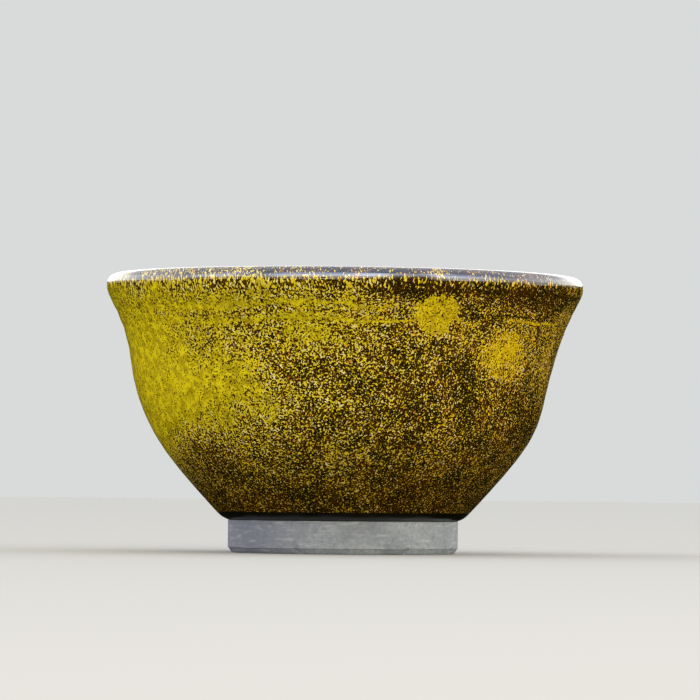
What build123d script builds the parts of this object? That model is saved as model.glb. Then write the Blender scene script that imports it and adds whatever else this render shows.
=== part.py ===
"""A gaiwan's tea bowl: flared lip, rounded wall and bare stoneware foot ring, with separate coats of glaze.

Millimetres. +Z is up, and the origin is the centre of the face that the foot ring stands on.
Every piece is a turned one, so each is a section drawn in the XZ plane and revolved about Z.
"""

import os

from build123d import *

# ---- the finished bowl, over the glaze ----
mouth_diameter = 112.0  # across the widest circle of the lip
bowl_height = 65.0  # from the standing face to the top of the lip

# ---- the lip ----
lip_round_outside = 2.3  # radius from the lip's widest circle up to its top
lip_round_inside = 1.5  # radius from the lip's top down to the inner wall

# ---- the wall ----
waist_below_lip = 17.6  # the waist, where the wall stops rounding out and starts to flare
lip_overhang = 6.3  # how far the lip stands out past the waist
waist_lean = 0.21  # outward run for each unit of rise, at the waist
wall_start_lean = 0.93  # and where the wall leaves the glaze's bead
# How firmly each end of the wall's two curves keeps its direction: 0.33 is an even curve, and more is fuller.
haunch_fullness = 0.565
belly_fullness = 0.396
neck_fullness = 0.587
lip_fullness = 0.187
wall_at_lip = 3.6  # thickness of the finished wall, clay and both glazes
wall_at_foot = 5.2  # and at the glaze's bead

# ---- the foot ring ----
foot_diameter = 54.0
foot_height = 7.6
foot_band = 5.0  # thickness of the ring, from its outside to its inside
foot_bevel_out = 1.1  # bevel under the outside edge, inwards
foot_bevel_up = 1.4  # and upwards
foot_bevel_inside = 0.7  # bevel under the inside edge
foot_edge_round = 0.25

# ---- the floor ----
floor_thickness = 6.3  # clay and glaze at the centre, above the base's underside
well_radius = 15.0  # the floor is nearly flat within this radius
well_rise = 0.9  # how much higher the floor is at that radius
base_let_in = 2.0  # how far the base goes down inside the foot ring
base_cone = 0.5  # the turned base is this much lower at its centre

# ---- the glaze ----
glaze_thickness = 0.6
pool_depth = 0.7  # extra glaze that gathered at the centre of the floor
roll_height = 2.0  # the bead where the outer glaze stopped, above the foot
roll_bulge = 0.42  # how far the bead stands out
roll_ledge = 0.3  # bare edge left at the top of the foot ring
roll_run = 2.75  # how far the bead's top is outside the foot ring
seat_inset = 1.0  # how far inside the foot ring's edge the clay wall starts

# ---- what follows from those ----
lip_radius = mouth_diameter / 2
foot_radius = foot_diameter / 2
foot_inner_radius = foot_radius - foot_band
lip_edge_z = bowl_height - lip_round_outside
lip_centre_r = lip_radius - lip_round_outside
lip_inner_z = bowl_height - lip_round_inside
lip_inner_r = lip_centre_r - lip_round_inside
base_z = foot_height - base_let_in
clay_top_z = bowl_height - glaze_thickness
floor_z = base_z - base_cone + floor_thickness

roll_top = (foot_radius + roll_run, foot_height + roll_height)
waist = (lip_radius - lip_overhang, lip_edge_z - waist_below_lip)
lip_edge = (lip_radius, lip_edge_z)
clay_seat = (foot_radius - seat_inset, foot_height)
roll_foot = (foot_radius - roll_ledge, foot_height)

turning_plane = Plane.XZ
straight_up = Vector(0, 1)
level_inwards = Vector(-1, 0)
wall_start = Vector(wall_start_lean, 1).normalized()
waist_direction = Vector(waist_lean, 1).normalized()


def full_curve(start, start_direction, start_fullness, end, end_direction, end_fullness):
    """The four control points of a curve that leaves and reaches its ends in the given directions."""
    start, end = Vector(*start), Vector(*end)
    chord = (end - start).length
    return (
        start,
        start + start_direction * (chord * start_fullness),
        end - end_direction * (chord * end_fullness),
        end,
    )


# The outside of the finished wall: one curve from the glaze's bead to the waist, one from there to the lip.
belly_curve = full_curve(roll_top, wall_start, haunch_fullness, waist, waist_direction, belly_fullness)
flare_curve = full_curve(waist, waist_direction, neck_fullness, lip_edge, straight_up, lip_fullness)


# Each line function joins the BuildLine that calls it, so two pieces that touch share exactly the same line.
def finished_outside():
    Bezier(*belly_curve)
    Bezier(*flare_curve)


with BuildLine() as outside:
    finished_outside()
outer_line = outside.wires()[0]


def inside_wall(share, depth):
    """The point this deep inside the wall, square to its outside, at a share of the way from bead to lip."""
    point = outer_line @ share
    along = (outer_line % share).normalized()
    return (point.X - along.Y * depth, point.Y + along.X * depth)


def wall_thickness(share):
    """The finished wall tapers evenly from the foot to the lip."""
    return wall_at_foot + (wall_at_lip - wall_at_foot) * share


wall_stations = 20
outer_shares = [station / wall_stations for station in range(wall_stations + 1)]
inner_shares = outer_shares[5:18][::-1]  # from just under the lip down to where the floor starts

# The clay's outside, one glaze thickness in, from the bead up to the lip.
clay_outer_points = [inside_wall(share, glaze_thickness) for share in outer_shares]
clay_outer_tangents = [wall_start, straight_up]
clay_roll_top = clay_outer_points[0]

# The glazed inside and the clay under it, from the lip down to the centre of the floor.
glazed_inner_points = [
    (lip_inner_r, lip_inner_z),
    *[inside_wall(share, wall_thickness(share)) for share in inner_shares],
    (well_radius, floor_z + well_rise),
    (0, floor_z),
]
clay_inner_points = [
    (lip_inner_r + glaze_thickness, lip_inner_z),
    *[inside_wall(share, wall_thickness(share) - glaze_thickness) for share in inner_shares],
    (well_radius, floor_z + well_rise - glaze_thickness),
    (0, floor_z - glaze_thickness - pool_depth),
]
inner_tangents = [-straight_up, level_inwards]


def clay_outside():
    Spline(*clay_outer_points, tangents=clay_outer_tangents)


def clay_lip():
    RadiusArc(clay_outer_points[-1], (lip_centre_r, clay_top_z), -(lip_round_outside - glaze_thickness))
    RadiusArc((lip_centre_r, clay_top_z), clay_inner_points[0], -(lip_round_inside - glaze_thickness))


def clay_inside():
    Spline(*clay_inner_points, tangents=inner_tangents)


# Clay body: the thrown wall and floor, with a base that is let into the foot ring.
with BuildPart() as clay_body:
    with BuildSketch(turning_plane):
        with BuildLine():
            Polyline(
                clay_inner_points[-1],
                (0, base_z - base_cone),
                (foot_inner_radius, base_z),
                (foot_inner_radius, foot_height),
                clay_seat,
                clay_roll_top,
            )
            clay_outside()
            clay_lip()
            clay_inside()
        make_face()
    revolve(axis=Axis.Z)

# Foot ring: bare stoneware, bevelled under its outside edge so that it doesn't chip.
with BuildPart() as foot_ring:
    with BuildSketch(turning_plane) as foot_section:
        with BuildLine():
            Polyline(
                (foot_inner_radius, foot_bevel_inside),
                (foot_inner_radius + foot_bevel_inside, 0),
                (foot_radius - foot_bevel_out, 0),
                (foot_radius, foot_bevel_up),
                (foot_radius, foot_height),
                (foot_inner_radius, foot_height),
                close=True,
            )
        make_face()
        levels = foot_section.vertices().group_by(Axis.Y)
        lower_corners = [corner for level in levels[:-1] for corner in level]
        fillet(lower_corners, foot_edge_round)
    revolve(axis=Axis.Z)

# Glaze roll: the bead where the running glaze gathered and stopped, just above the foot ring.
with BuildPart() as glaze_roll:
    with BuildSketch(turning_plane):
        with BuildLine():
            bead_chord = Vector(*roll_top) - Vector(*roll_foot)
            bead_middle = Vector(*roll_foot) + bead_chord / 2
            down_and_out = Vector(bead_chord.Y, -bead_chord.X).normalized()
            ThreePointArc(roll_foot, bead_middle + down_and_out * roll_bulge, roll_top)
            Polyline(roll_top, clay_roll_top, clay_seat, roll_foot)
        make_face()
    revolve(axis=Axis.Z)

# Outer glaze: the dark coat on the outside of the wall, from the bead up to the lip's widest circle.
with BuildPart() as outer_glaze:
    with BuildSketch(turning_plane):
        with BuildLine():
            finished_outside()
            Line(lip_edge, clay_outer_points[-1])
            clay_outside()
            Line(clay_roll_top, roll_top)
        make_face()
    revolve(axis=Axis.Z)

# Lip glaze: the band over the rounded lip, from the widest circle over the top to the inner wall.
with BuildPart() as lip_glaze:
    with BuildSketch(turning_plane):
        with BuildLine():
            RadiusArc(lip_edge, (lip_centre_r, bowl_height), -lip_round_outside)
            RadiusArc((lip_centre_r, bowl_height), glazed_inner_points[0], -lip_round_inside)
            Line(glazed_inner_points[0], clay_inner_points[0])
            clay_lip()
            Line(clay_outer_points[-1], lip_edge)
        make_face()
    revolve(axis=Axis.Z)

# Inner glaze: the lining from the lip down, a little deeper where it pooled on the floor.
with BuildPart() as inner_glaze:
    with BuildSketch(turning_plane):
        with BuildLine():
            Spline(*glazed_inner_points, tangents=inner_tangents)
            Line(glazed_inner_points[-1], clay_inner_points[-1])
            clay_inside()
            Line(clay_inner_points[0], glazed_inner_points[0])
        make_face()
    revolve(axis=Axis.Z)

pieces = {
    "clay_body": clay_body,
    "foot_ring": foot_ring,
    "glaze_roll": glaze_roll,
    "outer_glaze": outer_glaze,
    "lip_glaze": lip_glaze,
    "inner_glaze": inner_glaze,
}
os.makedirs("parts", exist_ok=True)
for name, piece in pieces.items():
    piece.part.label = name
    export_step(piece.part, f"parts/{name}.step")
    print(name, "solids", len(piece.part.solids()), "volume", round(piece.part.volume, 1))
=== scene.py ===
"""A gaiwan's tea bowl in dusted iron glaze, on a pale studio floor.

Millimetres, with +Z up and the origin at the centre of the face that the foot stands on.
"""

import math

import bmesh
import bpy
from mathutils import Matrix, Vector, geometry, noise


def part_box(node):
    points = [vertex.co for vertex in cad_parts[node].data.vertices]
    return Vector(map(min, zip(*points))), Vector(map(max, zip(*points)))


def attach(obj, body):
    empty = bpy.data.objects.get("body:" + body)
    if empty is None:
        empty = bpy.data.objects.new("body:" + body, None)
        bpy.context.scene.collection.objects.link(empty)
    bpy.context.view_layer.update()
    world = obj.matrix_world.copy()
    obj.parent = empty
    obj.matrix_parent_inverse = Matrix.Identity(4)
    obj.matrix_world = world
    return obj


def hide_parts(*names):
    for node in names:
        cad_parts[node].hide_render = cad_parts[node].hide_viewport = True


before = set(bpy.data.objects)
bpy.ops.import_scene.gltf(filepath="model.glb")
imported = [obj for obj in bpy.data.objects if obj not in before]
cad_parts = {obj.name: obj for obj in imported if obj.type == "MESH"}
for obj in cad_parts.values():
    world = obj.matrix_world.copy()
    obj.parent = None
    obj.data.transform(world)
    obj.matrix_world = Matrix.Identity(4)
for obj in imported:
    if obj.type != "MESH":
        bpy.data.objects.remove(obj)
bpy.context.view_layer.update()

MM = 0.001  # every size below is in millimetres, and a mesh or a light gets it in metres

# ---- sizes from the frame, and the wall's own shape between them ----
lip_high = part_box("lip_glaze")[1] / MM
outer_low, outer_high = (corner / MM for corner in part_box("outer_glaze"))
clay_low, clay_high = (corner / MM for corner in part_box("clay_body"))
foot_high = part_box("foot_ring")[1] / MM

lip_radius = lip_high.x
bowl_height = lip_high.z
lip_edge_z = outer_high.z
lip_round_outside = bowl_height - lip_edge_z
lip_round_inside = 1.5
lip_overhang = 6.3  # how far the lip stands out past the waist
waist_below_lip = 17.6
wall_at_lip, wall_at_foot = 3.6, 5.2  # thickness of clay and both glazes
glaze = bowl_height - clay_high.z
foot_radius = foot_high.x
foot_height = foot_high.z
foot_band = 5.0
bead_run = 2.75  # how far the bead's top is outside the foot ring
bead_ledge = 0.3  # bare edge left at the top of the foot ring
bead_bulge_out = 0.42
seat_inset = 1.0  # how far inside the foot ring's edge the clay wall starts
base_cone = 0.5  # the turned base is this much lower at its centre
floor_thickness = 6.3
pool_depth = 0.7  # extra glaze at the centre of the floor

bead_top = Vector((foot_radius + bead_run, outer_low.z))
bead_foot = Vector((foot_radius - bead_ledge, foot_height))
clay_seat = Vector((foot_radius - seat_inset, foot_height))
waist = Vector((lip_radius - lip_overhang, lip_edge_z - waist_below_lip))
base_middle_z = clay_low.z
base_edge_z = base_middle_z + base_cone
floor_z = base_middle_z + floor_thickness

UP, DOWN, INWARDS = Vector((0, 1)), Vector((0, -1)), Vector((-1, 0))
wall_start = Vector((0.93, 1)).normalized()  # the wall's outward run for each unit of rise, at the bead
waist_way = Vector((0.21, 1)).normalized()  # and at the waist


# ---- lines of a section: points are (radius, height) ----
def curve(start, start_way, start_fullness, end, end_way, end_fullness, steps):
    """A curve that leaves and reaches its ends in the given directions, fuller for a higher share."""
    chord = (end - start).length
    leave = start + start_way * chord * start_fullness
    reach = end - end_way * chord * end_fullness
    return geometry.interpolate_bezier(start, leave, reach, end, steps)


def arc(centre, radius, first, last, steps):
    """Points on an arc, its angles in degrees from straight out, turning up."""
    angles = [math.radians(first + (last - first) * step / steps) for step in range(steps + 1)]
    return [centre + Vector((math.cos(angle), math.sin(angle))) * radius for angle in angles]


def straight(start, end, steps):
    """Points on a straight line, close enough together for the hand-made surface to show."""
    return [start.lerp(end, step / steps) for step in range(steps + 1)]


def joined(*lines):
    """Lines end to end, with each shared point once."""
    points = [lines[0][0]]
    for line in lines:
        points += [point for point in line if (point - points[-1]).length > 1e-6]
    return points


def moved_in(line, first_depth, last_depth):
    """The line moved square to itself into the wall, by a depth that changes evenly along it."""
    points = []
    for index, point in enumerate(line):
        before, after = line[max(index - 1, 0)], line[min(index + 1, len(line) - 1)]
        way = (after - before).normalized()
        depth = first_depth + (last_depth - first_depth) * index / (len(line) - 1)
        points.append(point + Vector((-way.y, way.x)) * depth)
    return points


lip_middle = Vector((lip_radius - lip_round_outside, lip_edge_z))
lip_inner_middle = Vector((lip_middle.x, bowl_height - lip_round_inside))
lip_edge = Vector((lip_radius, lip_edge_z))

outside = joined(
    curve(bead_top, wall_start, 0.565, waist, waist_way, 0.396, 88),
    curve(waist, waist_way, 0.587, lip_edge, UP, 0.187, 50),
)
clay_outside = moved_in(outside, glaze, glaze)
lip_outside = joined(
    arc(lip_middle, lip_round_outside, 0, 90, 18), arc(lip_inner_middle, lip_round_inside, 90, 180, 14)
)
clay_lip = joined(
    arc(lip_middle, lip_round_outside - glaze, 0, 90, 10),
    arc(lip_inner_middle, lip_round_inside - glaze, 90, 180, 8),
)
floor_meets_wall, neck_meets_wall = 37, 122  # the outside's points that the plain inner wall runs between
inner_wall = moved_in(outside, wall_at_foot, wall_at_lip)[floor_meets_wall:neck_meets_wall]
inner_wall.reverse()
wall_end_way = (inner_wall[-1] - inner_wall[-2]).normalized()
neck_way = (inner_wall[1] - inner_wall[0]).normalized()
floor_middle = Vector((0, floor_z))
inside = joined(
    curve(lip_outside[-1], DOWN, 0.3, inner_wall[0], neck_way, 0.35, 16),
    inner_wall,
    curve(inner_wall[-1], wall_end_way, 0.38, floor_middle, INWARDS, 0.42, 60),
)
clay_inside = moved_in(inside, glaze, glaze)
clay_inside[-1] = floor_middle + DOWN * (glaze + pool_depth)


# ---- turned pieces ----
GROOVES = ((56.3, 0.10), (52.8, 0.10), (48.1, 0.04))  # height and depth of each throwing line
GROOVE_HALF_WIDTH = 0.8
FINGER_STEP = 4.3  # how far the wheel carries the fingers up in one turn


def rising(value, start, end):
    """From 0 to 1 as the value goes from start to end."""
    return min(max((value - start) / (end - start), 0.0), 1.0)


def hump(value, middle, half_width):
    """1 at the middle, and falling away softly on both sides."""
    return math.exp(-(((value - middle) / half_width) ** 2))


def round_and_turn(point):
    """A point's distance from the upright axis, and its turn from the front."""
    return math.hypot(point.x, point.y), math.atan2(point.x, -point.y)


def unevenness(turn, level, size):
    """A slow wander round the bowl that meets itself again at the back."""
    return noise.noise(Vector((math.sin(turn), math.cos(turn), level)) * size)


def from_hand(point):
    """Where the potter's hands really left a point of the true section: a ripple, a lean and a worn lip."""
    radius, turn = round_and_turn(point)
    on_wall = rising(point.z, 12.0, 20.0) * rising(point.z, 61.5, 58.5)
    ripple = math.sin(2 * math.pi * point.z / FINGER_STEP + turn + 2.5 * noise.noise(point / 30)) * 0.02
    out_of_round = unevenness(turn, point.z / 25, 1.3) * 0.16
    grooves = sum(-depth * hump(point.z, height, GROOVE_HALF_WIDTH) for height, depth in GROOVES)
    near_top = rising(point.z, 61.2, 63.0)
    tucked_in = 0.12 * near_top * near_top * (3 - 2 * near_top)
    shift = on_wall * (ripple + out_of_round + grooves) - tucked_in
    scale = (radius + shift) / radius if radius > 1 else 1
    lean = -0.65 * hump(point.z, 39.0, 8.5)
    wear = 0.15 + 0.10 * math.sin(turn) + 0.06 * unevenness(turn, 3.0, 1.7)
    worn = rising(point.z, 60.0, 64.0) * wear
    return Vector((point.x * scale + lean, point.y * scale, point.z - worn))


def turned(name, section, steps, ends_meet, shape=from_hand):
    """A piece turned from its section: (radius, height) points in order, spun once round."""
    bm = bmesh.new()
    corners = [bm.verts.new((radius, 0, height)) for radius, height in section]
    edges = [bm.edges.new(pair) for pair in zip(corners, corners[1:])]
    if ends_meet:
        edges.append(bm.edges.new((corners[-1], corners[0])))
    bmesh.ops.spin(
        bm,
        geom=corners + edges,
        axis=(0, 0, 1),
        cent=(0, 0, 0),
        angle=2 * math.pi,
        steps=steps,
        use_merge=True,
    )
    bmesh.ops.remove_doubles(bm, verts=bm.verts, dist=1e-4)
    bmesh.ops.recalc_face_normals(bm, faces=bm.faces)
    for corner in bm.verts:
        corner.co = shape(corner.co) * MM
    mesh = bpy.data.meshes.new(name)
    bm.to_mesh(mesh)
    bm.free()
    mesh.shade_smooth()
    mesh.set_sharp_from_angle(angle=math.radians(38))
    piece = bpy.data.objects.new(name, mesh)
    bpy.context.scene.collection.objects.link(piece)
    return piece


def thin_ends(line):
    """The line with one more point close to each end, so that two coats meet with the same slope."""
    first = line[0] + (line[1] - line[0]).normalized() * 0.04
    last = line[-1] + (line[-2] - line[-1]).normalized() * 0.04
    return [line[0], first, *line[1:-1], last, line[-1]]


def sparse(line, keep):
    """Every few points of a line that is hidden inside the wall, with both of its ends."""
    return line[:-1:keep] + [line[-1]]


TURN_STEPS = 256
HIDDEN_STEP = 6  # a line inside the wall keeps one point in this many

outer_coat = turned(
    "outer_coat",
    thin_ends(outside) + sparse(clay_outside, HIDDEN_STEP)[::-1],
    TURN_STEPS,
    ends_meet=True,
)
lip_coat = turned("lip_coat", thin_ends(lip_outside) + clay_lip[::-1], TURN_STEPS, ends_meet=True)
inner_coat = turned(
    "inner_coat",
    sparse(clay_inside, HIDDEN_STEP)[::-1] + thin_ends(inside),
    TURN_STEPS,
    ends_meet=False,
)
clay_wall = turned(
    "clay_wall",
    joined(
        straight(Vector((0, base_middle_z)), Vector((foot_radius - foot_band, base_edge_z)), 50),
        [Vector((foot_radius - foot_band, foot_height)), clay_seat],
        sparse(clay_outside, HIDDEN_STEP),
        clay_lip,
        sparse(clay_inside, HIDDEN_STEP),
    ),
    TURN_STEPS,
    ends_meet=False,
)


def from_turning(point):
    """Foot ring and base as the turning tool and a few knocks left them."""
    radius, turn = round_and_turn(point)
    tool_mark = min(noise.noise(Vector((radius * 1.1, point.z * 2.2, 0.15 * math.sin(turn)))) * 0.07, 0.0)
    low_edge = hump(point.z, 0.9, 1.0) * rising(radius, 24.5, 26.0)
    knock = max(noise.noise(point / 2.6 + Vector((7.3, 1.1, 4.0))) - 0.34, 0.0) * 1.6 * low_edge
    inwards = tool_mark - knock if point.z > 0.05 else 0.0
    scale = (radius + inwards) / radius
    return Vector((point.x * scale, point.y * scale, point.z))


# The foot's section goes down its inside, round the bevelled edge it stands on, and up its outside.
foot_inner = foot_radius - foot_band
foot_section = joined(
    straight(Vector((foot_inner, foot_height)), Vector((foot_inner, 0.9)), 12),
    arc(Vector((foot_inner + 0.7, 0.7)), 0.7, 180, 270, 5),
    straight(Vector((foot_inner + 0.8, 0)), Vector((foot_radius - 1.35, 0)), 6),
    arc(Vector((foot_radius - 1.2, 0.5)), 0.5, 270, 308, 3),
    straight(Vector((foot_radius - 0.75, 0.26)), Vector((foot_radius - 0.12, 1.22)), 4),
    arc(Vector((foot_radius - 0.4, 1.45)), 0.4, 328, 360, 3),
    straight(Vector((foot_radius, 1.6)), Vector((foot_radius, foot_height)), 26),
    straight(Vector((foot_radius, foot_height)), Vector((foot_inner, foot_height)), 4),
)
foot = turned("turned_foot", foot_section[:-1], 400, ends_meet=True, shape=from_turning)

bead_chord = bead_top - bead_foot
down_and_out = Vector((bead_chord.y, -bead_chord.x)).normalized()
bead_bulge = bead_foot + bead_chord / 2 + down_and_out * bead_bulge_out


def from_running(point):
    """The bead as it set: fuller where a run of glaze reached it."""
    radius, turn = round_and_turn(point)
    from_bulge = (bead_bulge - Vector((radius, point.z))).length
    fuller = max(0.0, 1 - from_bulge / 1.4) * 0.16
    swell = fuller * unevenness(turn, 5.0, 4.0)
    scale = (radius + swell) / radius
    return Vector((point.x * scale, point.y * scale, point.z - swell * 0.4))


bead_line = geometry.interpolate_bezier(
    bead_foot, bead_foot.lerp(bead_bulge, 0.9), bead_top.lerp(bead_bulge, 0.75), bead_top, 16
)
bead = turned(
    "glaze_bead", [*bead_line, clay_outside[0], clay_seat], TURN_STEPS, ends_meet=True, shape=from_running
)


# ---- materials ----
def srgb(code):
    """A linear colour from an sRGB hex code."""
    channels = [int(code[index : index + 2], 16) / 255 for index in (1, 3, 5)]
    return (*(c / 12.92 if c <= 0.04045 else ((c + 0.055) / 1.055) ** 2.4 for c in channels), 1)


def add(tree, kind, sockets=None, **settings):
    """Adds a node with its settings. A socket takes another node's output, or a plain value."""
    made = tree.nodes.new(kind)
    for name, value in settings.items():
        setattr(made, name, value)
    for name, value in (sockets or {}).items():
        if isinstance(value, bpy.types.NodeSocket):
            tree.links.new(value, made.inputs[name])
        else:
            made.inputs[name].default_value = value
    return made.outputs


def new_material(name):
    """An empty material, and its tree."""
    material = bpy.data.materials.new(name)
    material.use_nodes = True
    material.node_tree.nodes.clear()
    return material, material.node_tree


def between(tree, value, low, high, low_gives, high_gives, change="SMOOTHSTEP"):
    """A smooth change from one number to another as the value goes from low to high."""
    return add(
        tree,
        "ShaderNodeMapRange",
        {"Value": value, "From Min": low, "From Max": high, "To Min": low_gives, "To Max": high_gives},
        interpolation_type=change,
    )["Result"]


def evenly(tree, value, low, high, low_gives, high_gives):
    """The same change at an even pace."""
    return between(tree, value, low, high, low_gives, high_gives, change="LINEAR")


def between_turns(tree, turn, low, high, low_gives, high_gives):
    """A smooth change as a turn goes from low to high, in degrees."""
    return between(tree, turn, math.radians(low), math.radians(high), low_gives, high_gives)


def calculated(tree, operation, first, second):
    """One step of arithmetic."""
    return add(tree, "ShaderNodeMath", {0: first, 1: second}, operation=operation)[0]


def product(tree, first, *others):
    """Everything multiplied together."""
    for other in others:
        first = calculated(tree, "MULTIPLY", first, other)
    return first


def number_between(tree, share, first, second):
    """A number between two, at that share of the way."""
    return add(
        tree, "ShaderNodeMix", {"Factor": share, "A": first, "B": second}, data_type="FLOAT"
    )["Result"]


def blended(tree, share, first, second):
    """A colour between two, which are hex codes or other colours."""
    first, second = (srgb(c) if isinstance(c, str) else c for c in (first, second))
    return add(tree, "ShaderNodeMix", {"Factor": share, 6: first, 7: second}, data_type="RGBA")[2]


def stretched(tree, place, shares):
    """The place multiplied by a share along each way, so that a pattern read there comes out drawn."""
    return add(tree, "ShaderNodeVectorMath", {0: place, 1: shares}, operation="MULTIPLY")["Vector"]


def patches(tree, place, size, detail=3.0, roughness=0.62):
    """Soft uneven patches of that size in millimetres, 0.5 on average."""
    sockets = {"Vector": place, "Scale": 1 / size, "Detail": detail, "Roughness": roughness}
    return add(tree, "ShaderNodeTexNoise", sockets)["Fac"]


def distance(tree, across, up):
    """How far off a point is that is so far across and so far up."""
    offset = add(tree, "ShaderNodeCombineXYZ", {"X": across, "Y": up})[0]
    return add(tree, "ShaderNodeVectorMath", {0: offset}, operation="LENGTH")["Value"]


def relief(tree, height, strength, depth, under=None):
    """Fine relief on the surface, that many millimetres deep, over another relief if there is one."""
    sockets = {"Height": height, "Strength": strength, "Distance": depth * MM}
    if under:
        sockets["Normal"] = under
    return add(tree, "ShaderNodeBump", sockets)["Normal"]


def turn_of(tree, ways):
    """The turn from the front about the upright axis, from -pi to pi."""
    return calculated(tree, "ARCTAN2", ways["X"], calculated(tree, "MULTIPLY", ways["Y"], -1.0))


def turned_from(tree, turn, degrees):
    """The turn measured from another one, the short way round, so that nothing breaks off at the back."""
    away = calculated(tree, "SUBTRACT", turn, math.radians(degrees))
    return add(tree, "ShaderNodeMath", {0: away, 1: math.pi, 2: -math.pi}, operation="WRAP")["Value"]


def off_turn(tree, turn, degrees):
    """How far round from that turn, either way."""
    return calculated(tree, "ABSOLUTE", turned_from(tree, turn, degrees), 0)


def place_on_bowl(tree):
    """A point's place on the bowl in millimetres, its height and its turn from the front."""
    metres = add(tree, "ShaderNodeTexCoord")["Object"]
    place = add(tree, "ShaderNodeVectorMath", {0: metres, "Scale": 1 / MM}, operation="SCALE")["Vector"]
    ways = add(tree, "ShaderNodeSeparateXYZ", {0: place})
    return place, ways["Z"], turn_of(tree, ways)


def surfaced(material, tree, sockets):
    """The finished material, with those values on its surface."""
    shader = add(tree, "ShaderNodeBsdfPrincipled", sockets)["BSDF"]
    add(tree, "ShaderNodeOutputMaterial", {"Surface": shader})
    return material


# Where dust lies on the wall: turn from the front in degrees, height, half width, half height, and how much
# more of the glaze it covers there, or how much less in a bare stretch.
CLOUDS = [
    (-88, 42, 66, 32, 0.95),
    (-24, 56, 44, 11, 0.34),
    (-40, 37, 24, 14, 0.32),
    (-11, 47.5, 9, 6, 0.24),
    (-24, 34.5, 9, 7, 0.24),
    (49, 46, 13, 8, 0.48),
    (10, 51, 38, 8, 0.12),
    (14, 51, 10, 4.5, -0.18),
    (24, 36, 26, 10, -0.24),
    (40, 22, 40, 14, -0.12),
    (34, 43, 11, 7, -0.14),
    (70, 40, 12, 10, 0.16),
    (-55, 22, 30, 8, -0.28),
    (128, 45, 40, 18, 0.5),
    (-165, 36, 30, 14, 0.35),
    (58, 59, 28, 5.5, -0.42),
    (22, 60, 26, 4, -0.22),
    (-30, 60.5, 12, 2.5, -0.2),
    (64, 30, 34, 18, -0.26),
    (8, 42, 24, 9, -0.08),
    (-34, 64, 34, 2.6, 0.26),
    (22.5, 63.6, 2.6, 2.4, 0.5),
]
# Dust caught along the potter's throwing lines: from turn, to turn, height, half height, more cover.
LINES = [
    (-62, 10, 56.3, 0.7, 0.32),
    (-46, 42, 52.8, 0.5, 0.42),
    (44, 68, 53.4, 0.6, 0.55),
    (-30, 14, 48.1, 0.5, 0.16),
    (-80, 80, 54.6, 0.7, -0.2),
    (-60, 30, 51.4, 0.6, -0.18),
    (100, 170, 50.2, 0.6, 0.3),
    (-170, -110, 54.8, 0.6, 0.3),
]
ROUND_MARK = (23.5, 54.6, 5.2)  # turn, height and radius of the dab of dust that one fingertip left
UNROLLED_RADIUS = 50.0  # the wall's usual radius, which turns an angle into a distance round the bowl


def dust_cover(tree, turn, height, place):
    """How much of the dark glaze the dust covers, 0 to 1."""
    cover = between(tree, height, 9.8, 24, 0.06, 0.30)
    for cloud_turn, level, half_width, half_height, more in CLOUDS:
        across = product(tree, turned_from(tree, turn, cloud_turn), UNROLLED_RADIUS / half_width)
        up = product(tree, calculated(tree, "SUBTRACT", height, level), 1 / half_height)
        cloud = between(tree, distance(tree, across, up), 0, 1, more, 0)
        cover = calculated(tree, "ADD", cover, cloud)

    mark_turn, mark_level, mark_radius = ROUND_MARK
    across = product(tree, turned_from(tree, turn, mark_turn), UNROLLED_RADIUS)
    from_mark = distance(tree, across, calculated(tree, "SUBTRACT", height, mark_level))
    ragged = between(tree, patches(tree, place, 3), 0.3, 0.7, -1.2, 1.2)
    from_mark = calculated(tree, "ADD", from_mark, ragged)

    wander = between(tree, patches(tree, place, 18), 0.3, 0.7, -0.7, 0.7)
    lined_height = calculated(tree, "ADD", height, wander)
    for from_turn, to_turn, level, half_height, more in LINES:
        off_level = calculated(tree, "ABSOLUTE", calculated(tree, "SUBTRACT", lined_height, level), 0)
        on_line = between(tree, off_level, 0, half_height, more, 0)
        off_middle = off_turn(tree, turn, (from_turn + to_turn) / 2)
        half_turn = (to_turn - from_turn) / 2
        along = between_turns(tree, off_middle, half_turn * 0.7, half_turn, 1, 0)
        cover = calculated(tree, "ADD", cover, product(tree, on_line, along))

    drift = evenly(tree, patches(tree, place, 10), 0.3, 0.7, -0.17, 0.17)
    clump = evenly(tree, patches(tree, place, 2.2, 2), 0.3, 0.7, -0.14, 0.14)
    cover = calculated(tree, "ADD", calculated(tree, "ADD", cover, drift), clump)
    cover = calculated(tree, "MINIMUM", cover, 0.92)
    on_mark = between(tree, from_mark, mark_radius - 0.8, mark_radius, 1, 0)
    return number_between(tree, on_mark, cover, 0.76)


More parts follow.
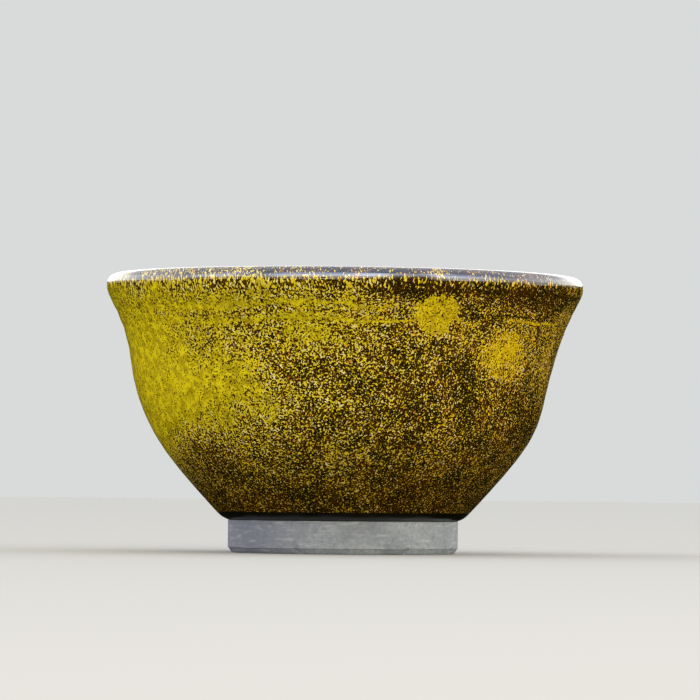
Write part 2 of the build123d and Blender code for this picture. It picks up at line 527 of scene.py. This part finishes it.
def dusted_iron_glaze(name, inside_bowl, index_of_refraction, mirror_tint):
    """Fired iron glaze, brown-black and glassy, with ochre yellow dust sprayed on and melted in.

    The eye sees half-millimetre grains of matt yellow that run together into a skin where they lie thick.
    """
    material, tree = new_material(name)
    place, height, turn = place_on_bowl(tree)
    cover = dust_cover(tree, turn, height, place)
    on_lip = between(tree, height, 62.4, 63.0, 0, 0.3)
    cover = calculated(tree, "SUBTRACT", cover, on_lip)
    if inside_bowl:
        lining = between(tree, patches(tree, place, 14), 0.3, 0.7, 0.15, 0.75)
        near_lip = between(tree, height, 50, 63.5, 0, 1)
        cover = number_between(tree, near_lip, lining, cover)

    # Grains are under half a millimetre. Below the lip the glaze ran, and drew them out downwards.
    drawn = patches(tree, stretched(tree, place, (1, 1, 0.38)), 0.4, 1)
    below_lip = between(tree, height, 58.5, 60.5, 0, 1)
    grain = number_between(tree, below_lip, patches(tree, place, 0.42, 1), drawn)
    above_threshold = calculated(tree, "SUBTRACT", grain, number_between(tree, cover, 0.64, 0.35))
    dust = between(tree, above_threshold, -0.012, 0.014, 0, 1)
    # Some grains sank, and show dim through the glaze.
    sunk_threshold = number_between(tree, cover, 0.58, 0.42)
    above_sunk = calculated(tree, "SUBTRACT", patches(tree, place, 0.4, 1), sunk_threshold)
    sunk = between(tree, above_sunk, -0.02, 0.06, 0, 0.32)

    # Thin grains are pale and sandy, and a thick skin is a full yellow, darker and greener in its hollows.
    hollows = between(tree, patches(tree, place, 1.7, 2), 0.36, 0.64, 0, 1)
    skin = blended(tree, hollows, "#988600", "#C4B004")
    pale = between(tree, patches(tree, place, 0.9, 3), 0.5, 0.62, 0, 1)
    loose = blended(tree, pale, "#CAB010", "#D6C880")
    fired_browner = between_turns(tree, off_turn(tree, turn, 90), 30, 110, 0.3, 0)
    loose = blended(tree, fired_browner, loose, "#B87008")
    skin = blended(tree, fired_browner, skin, "#D89A00")
    rust = between(tree, patches(tree, place, 1.6, 3), 0.57, 0.67, 0, 0.85)
    loose = blended(tree, rust, loose, "#A85A10")
    # Painted shade: loose grains are painted darker and browner towards the bottom of the wall, where the
    # lower belly faces down.
    loose = blended(tree, between(tree, height, 12, 34, 0.55, 0), loose, "#8A6814")
    grain_colour = blended(tree, between(tree, cover, 0.35, 0.68, 1, 0), skin, loose)
    iron = blended(tree, between(tree, patches(tree, place, 5), 0.42, 0.6, 0, 1), "#1A1300", "#2E1600")
    iron = blended(tree, sunk, iron, "#7A5A0A")

    # The glaze set in long shallow strokes round the bowl, which pull what the lip mirrors into streaks.
    unrolled = add(tree, "ShaderNodeCombineXYZ", {"X": product(tree, turn, UNROLLED_RADIUS), "Y": height})[0]
    strokes = patches(tree, stretched(tree, unrolled, (0.07, 1.3, 1)), 1, 2)
    set_surface = relief(tree, strokes, 1.0, 0.05)
    return surfaced(
        material,
        tree,
        {
            "Base Color": blended(tree, dust, iron, grain_colour),
            "Roughness": between(tree, dust, 0, 1, 0.12, 0.2),
            "IOR": index_of_refraction,
            "Specular Tint": srgb(mirror_tint),
            "Normal": relief(tree, dust, 0.12, 0.03, under=set_surface),
        },
    )


def pooled_iron_glaze(name):
    """The same iron glaze with no dust, run together in a thick bead: near black, with a soft shine."""
    material, tree = new_material(name)
    place = place_on_bowl(tree)[0]
    pool = patches(tree, place, 3, 3.0, 0.5)
    return surfaced(
        material,
        tree,
        {
            "Base Color": blended(tree, evenly(tree, pool, 0.35, 0.65, 0, 1), "#0A0903", "#141004"),
            "Roughness": 0.3,
            "IOR": 1.4,
            "Normal": relief(tree, pool, 0.2, 0.1),
        },
    )


def turned_stoneware(name):
    """Bare grey stoneware, turned on the wheel and fired hard: matt, gritty, with fine drag lines.

    The eye sees a grey that is painted darker and bluish on its left side as painted shade, with pale smears
    along the turning.
    """
    material, tree = new_material(name)
    place, _, turn = place_on_bowl(tree)
    grit = patches(tree, place, 0.8, 4.0, 0.7)
    clay = blended(tree, evenly(tree, grit, 0.3, 0.7, 0, 1), "#747878", "#9C9F9D")
    stain = evenly(tree, patches(tree, place, 9, 3.0, 0.5), 0.45, 0.75, 0, 0.6)
    colour = blended(tree, stain, clay, "#54565C")
    # Painted shade: the left side of the foot is painted a darker bluish grey, as if the light came from the
    # right.
    left_side_painted_shade = between_turns(tree, off_turn(tree, turn, -100), 40, 115, 0.75, 0)
    colour = blended(tree, left_side_painted_shade, colour, "#4E5064")
    along_turning = stretched(tree, place, (0.25, 0.25, 1.6))
    smear = between(tree, patches(tree, along_turning, 1.3), 0.52, 0.75, 0, 0.4)
    return surfaced(
        material,
        tree,
        {
            "Base Color": blended(tree, smear, colour, "#B4B6B0"),
            "Roughness": 0.85,
            "IOR": 1.5,
            "Normal": relief(tree, grit, 0.4, 0.12),
        },
    )


wall_finish = dusted_iron_glaze("dusted_iron_glaze_wall", False, 1.5, "#FFFFFF")
lip_finish = dusted_iron_glaze("dusted_iron_glaze_thick_on_lip", False, 1.8, "#D8E4FF")
lining_finish = dusted_iron_glaze("dusted_iron_glaze_lining", True, 1.5, "#FFFFFF")
bead_finish = pooled_iron_glaze("pooled_iron_glaze")
stoneware_finish = turned_stoneware("turned_grey_stoneware")

for piece, node_name, slot_name, finish in [
    (outer_coat, "outer_glaze", "outer_glaze", wall_finish),
    (lip_coat, "lip_glaze", "lip_glaze", lip_finish),
    (inner_coat, "inner_glaze", "inner_glaze", lining_finish),
    (bead, "glaze_roll", "glaze_bead", bead_finish),
    (clay_wall, "clay_body", "stoneware", stoneware_finish),
    (foot, "foot_ring", "foot_stoneware", stoneware_finish),
]:
    piece.data.materials.append(finish)
    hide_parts(node_name)
    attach(piece, "root")


# ---- studio: floor, light and camera ----
def floor_material(name):
    """A plain matt pale floor. What the glaze mirrors of it is dark, or it would veil the glaze's browns."""
    material, tree = new_material(name)
    pale = add(tree, "ShaderNodeBsdfDiffuse", {"Color": srgb("#A8A59D")})["BSDF"]
    dark = add(tree, "ShaderNodeBsdfDiffuse", {"Color": srgb("#12140C")})["BSDF"]
    mirrored = add(tree, "ShaderNodeLightPath")["Is Glossy Ray"]
    shader = add(tree, "ShaderNodeMixShader", {0: mirrored, 1: pale, 2: dark})["Shader"]
    add(tree, "ShaderNodeOutputMaterial", {"Surface": shader})
    return material


bm = bmesh.new()
bmesh.ops.create_grid(bm, x_segments=1, y_segments=1, size=6.0)
floor_mesh = bpy.data.meshes.new("studio_floor")
bm.to_mesh(floor_mesh)
bm.free()
floor = bpy.data.objects.new("studio_floor", floor_mesh)
bpy.context.scene.collection.objects.link(floor)
floor_mesh.materials.append(floor_material("pale_floor"))

# The room: a pale backdrop to look at, and for light a warm white band low down, with cool sky above it.
world = bpy.data.worlds.new("studio")
world.use_nodes = True
bpy.context.scene.world = world
room = world.node_tree
room.nodes.clear()
direction = add(room, "ShaderNodeTexCoord")["Generated"]
ways = add(room, "ShaderNodeSeparateXYZ", {0: direction})
rise = ways["Z"]
side = turn_of(room, ways)
off_front = calculated(room, "ABSOLUTE", side, 0)

# Two gaps in the low band, as between trees, which the lip mirrors as breaks in its bright streak.
right_gap = between_turns(room, off_turn(room, side, 33), 8, 14, 0.1, 1)
left_gap = between_turns(room, off_turn(room, side, -46), 6, 14, 0.4, 1)
gaps = product(room, right_gap, left_gap)

starts_higher_behind = between_turns(room, off_front, 100, 140, 0, 0.05)
above_ground = calculated(room, "SUBTRACT", rise, starts_higher_behind)
low_band = product(room, between(room, above_ground, 0.01, 0.04, 0, 3.4), gaps)
sides = between_turns(room, off_front, 40, 100, 0.7, 2.7)
sides = product(room, sides, between_turns(room, off_front, 115, 160, 1, 0.6))
middle = number_between(room, between(room, rise, 0.3, 0.5, 0, 1), low_band, sides)

# What is glossy mirrors the band in front taller and brighter than it lights the rest.
mirrored_band = product(
    room,
    between(room, rise, 0.55, 0.9, 1, 0),
    between(room, above_ground, 0.01, 0.04, 0, 1),
    gaps,
    between_turns(room, off_front, 50, 90, 5.0, 0),
    add(room, "ShaderNodeLightPath")["Is Glossy Ray"],
)
middle = calculated(room, "ADD", middle, mirrored_band)
strength = number_between(room, between(room, rise, 0.6, 0.85, 0, 1), middle, 2.2)
colour = blended(room, between(room, rise, 0.3, 0.5, 0, 1), "#FFFDF6", "#DFE4F0")
light = add(room, "ShaderNodeBackground", {"Color": colour, "Strength": strength})["Background"]
backdrop = add(room, "ShaderNodeBackground", {"Color": srgb("#D9DBDB"), "Strength": 1.0})["Background"]
seen = add(room, "ShaderNodeLightPath")["Is Camera Ray"]
add(
    room,
    "ShaderNodeOutputWorld",
    {"Surface": add(room, "ShaderNodeMixShader", {0: seen, 1: light, 2: backdrop})["Shader"]},
)


def softbox(name, place, aim, width, height, power, code):
    """A square soft light of that size and power, all in metres and watts, turned to face its aim."""
    lamp = bpy.data.lights.new(name, "AREA")
    lamp.shape = "RECTANGLE"
    lamp.size, lamp.size_y = width, height
    lamp.energy = power
    lamp.color = srgb(code)[:3]
    box = bpy.data.objects.new(name, lamp)
    box.location = place
    box.rotation_euler = (Vector(aim) - Vector(place)).to_track_quat("-Z", "Y").to_euler()
    bpy.context.scene.collection.objects.link(box)
    return box


softbox("front_softbox", (0.6, -1.15, 0.75), (0, 0, 0.035), 1.1, 0.6, 7, "#FFF8EC")

# The camera stands a little below the lip, with a long lens, and is rolled by half a degree.
camera_distance = 1.104
camera_height = 0.0148
aim_height = 0.0477
sideways = 0.0013
camera_roll = math.radians(0.5)
camera_data = bpy.data.cameras.new("camera")
camera_data.sensor_width = 36
camera_data.lens = 241.7
camera_data.clip_start, camera_data.clip_end = 0.05, 50
camera = bpy.data.objects.new("camera", camera_data)
bpy.context.scene.collection.objects.link(camera)
bpy.context.scene.camera = camera
camera.location = (sideways, -camera_distance, camera_height)
gaze = Vector((sideways, 0, aim_height)) - camera.location
camera.rotation_euler = gaze.to_track_quat("-Z", "Y").to_euler()
camera.rotation_euler.rotate_axis("Z", camera_roll)

bpy.context.scene.view_settings.view_transform = "Standard"
